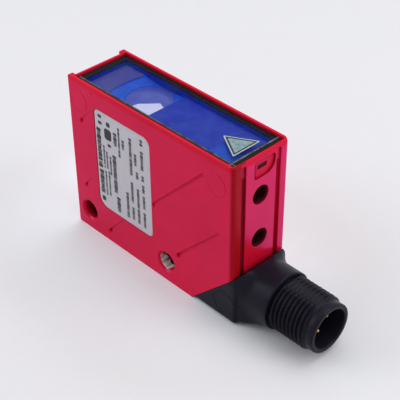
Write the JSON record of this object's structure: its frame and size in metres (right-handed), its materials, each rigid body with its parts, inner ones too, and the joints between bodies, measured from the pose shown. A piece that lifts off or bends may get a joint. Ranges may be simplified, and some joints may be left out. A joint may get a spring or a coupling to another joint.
{
  "type": "photoelectric sensor",
  "caption": "Cubic photoelectric sensor in a red metal housing with a tinted optics window and a swivelling round M12 plug connector at its corner.",
  "frame": {"origin": "centre of the housing's flat rear face, 24 mm from each end of the housing and midway between its side faces", "axes": "+Z is the optical axis, out of the window; +X points to the end with the plug connector; the label side faces -Y"},
  "size_m": [0.0671, 0.015, 0.038],
  "materials": {
    "red_paint": "satin crimson powder coat on die-cast zinc",
    "black_plastic": "fine satin moulded plastic",
    "grey_plastic": "matt moulded plastic",
    "seal_rubber": "matt rubber",
    "blue_glass": "polished blue-tinted filter",
    "clear_glass": "polished lens",
    "silver_label": "silver-grey label film",
    "pale_label": "pale label film",
    "green_board": "solder-masked circuit board",
    "chip_black": "moulded epoxy",
    "ceramic": "ceramic body",
    "steel": "bright zinc-plated steel",
    "gold": "gold-plated brass",
    "green_lens": "clear green plastic",
    "yellow_lens": "clear yellow plastic",
    "cable_grey": "PVC insulation"
  },
  "bodies": {
    "sensor_body": {"housing": "red_paint", "end_cover": "red_paint", "indicator_window_green": "green_lens", "indicator_window_yellow": "yellow_lens", "rating_label": "silver_label", "window_frame": "black_plastic", "window_glass": "blue_glass", "window_gasket": "seal_rubber", "window_sticker": "pale_label", "receiver_lens": "clear_glass", "lens_holder": "grey_plastic", "left_baffle": "grey_plastic", "right_baffle": "grey_plastic", "optics_carrier": "black_plastic", "laser_diode": "gold", "collimator_lens": "clear_glass", "beam_splitter": "clear_glass", "receiver_board": "green_board", "photodiode": "chip_black", "main_board": "green_board", "board_screw_1": "steel", "board_screw_2": "steel", "controller_chip": "chip_black", "amplifier_chip": "chip_black", "regulator_chip": "chip_black", "capacitor_1": "ceramic", "capacitor_2": "ceramic", "capacitor_3": "ceramic", "led_green": "green_lens", "led_yellow": "yellow_lens", "wire_socket": "grey_plastic"},
    "plug_connector": {"connector_elbow": "black_plastic", "threaded_sleeve": "black_plastic", "contact_insert": "black_plastic", "contact_pin_1": "gold", "contact_pin_2": "gold", "contact_pin_3": "gold", "contact_pin_4": "gold", "retaining_ring": "steel", "swivel_seal": "seal_rubber", "wire_bundle": "cable_grey"}
  },
  "joints": [
    {"name": "connector_swivel", "type": "hinge", "parent": "sensor_body", "child": "plug_connector", "pos_m": [0.01825, 0, 0.00575], "axis": [0.7071, 0, -0.7071], "range_deg": [0, 180]}
  ]
}
